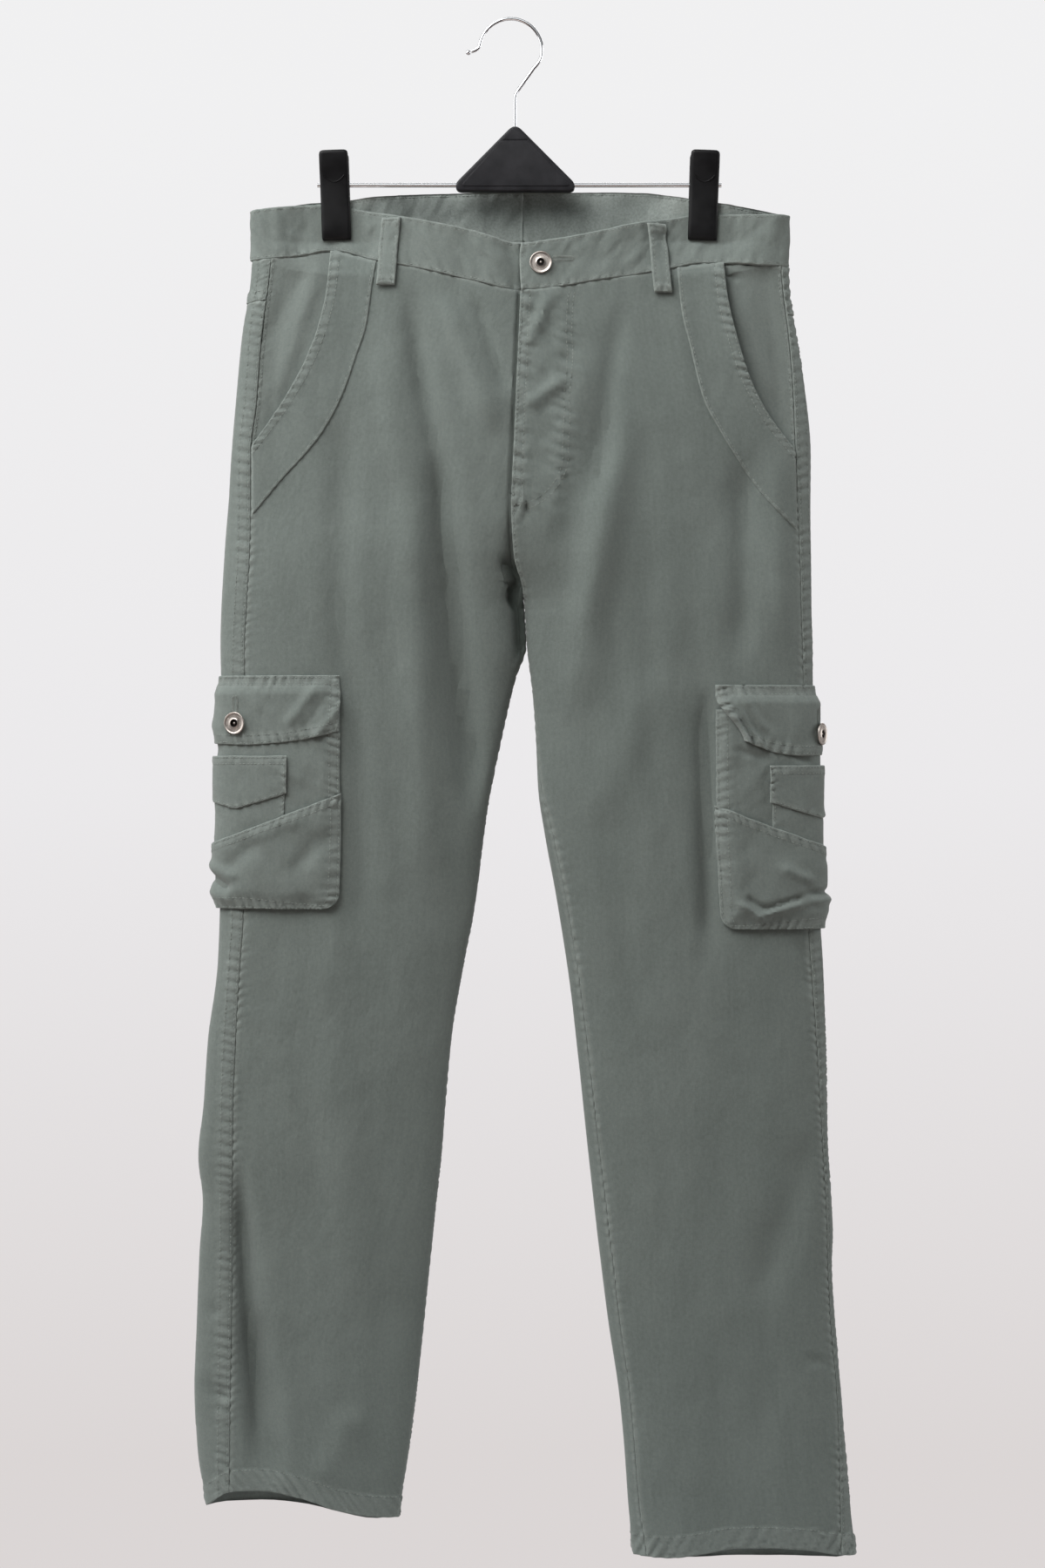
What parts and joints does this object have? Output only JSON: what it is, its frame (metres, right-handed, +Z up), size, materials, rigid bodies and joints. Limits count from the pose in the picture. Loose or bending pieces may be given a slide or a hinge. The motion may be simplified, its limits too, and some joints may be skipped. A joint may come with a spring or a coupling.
{
  "type": "cargo trousers on a clip hanger",
  "caption": "Straight cotton cargo trousers with scooped hip pockets, flapped thigh pockets and belt loops, hanging flat by the waistband from a wire and plastic clip hanger.",
  "frame": {"origin": "the point where the hook bears on a rail, the inside top of its arc", "axes": "+Z up, the front of the trousers faces -Y, the wearer's right leg is on the -X side"},
  "size_m": [0.5153, 0.0643, 1.209],
  "materials": {
    "twill": "garment-washed sage-green cotton twill, matte, paler along the seams",
    "tape": "woven cotton zip tape",
    "nickel": "antiqued nickel, worn bright on the rims",
    "chrome": "bright chrome plated wire",
    "plastic": "black moulded plastic with a fine satin grain",
    "steel": "plain spring steel"
  },
  "bodies": {
    "root": {"front_right_upper": "twill", "front_right_middle": "twill", "front_right_lower": "twill", "front_left_upper": "twill", "front_left_middle": "twill", "front_left_lower": "twill", "back_right_upper": "twill", "back_right_middle": "twill", "back_right_lower": "twill", "back_left_upper": "twill", "back_left_middle": "twill", "back_left_lower": "twill", "back_yoke_right": "twill", "back_yoke_left": "twill", "waistband_right": "twill", "waistband_left": "twill", "fly_zip": "tape", "fly_shield": "twill", "hip_pocket_facing_right": "twill", "hip_pocket_facing_left": "twill", "hip_pocket_band_right": "twill", "hip_pocket_band_left": "twill", "cargo_pocket_right": "twill", "cargo_pocket_left": "twill", "cargo_pocket_cover_right": "twill", "cargo_pocket_cover_left": "twill", "small_pocket_right": "twill", "small_pocket_left": "twill", "small_pocket_flap_right": "twill", "small_pocket_flap_left": "twill", "cargo_flap_right": "twill", "cargo_flap_left": "twill", "belt_loop_front_right": "twill", "belt_loop_front_left": "twill", "belt_loop_back_right": "twill", "belt_loop_back_left": "twill", "belt_loop_back_centre": "twill", "waist_button": "nickel", "cargo_button_right": "nickel", "cargo_button_left": "nickel", "hanger_hook": "chrome", "hanger_hook_tip": "chrome", "hanger_bar": "chrome", "hanger_centre": "plastic", "clip_right_front": "plastic", "clip_right_back": "plastic", "clip_left_front": "plastic", "clip_left_back": "plastic", "clip_spring_right": "steel", "clip_spring_left": "steel"}
  },
  "joints": []
}
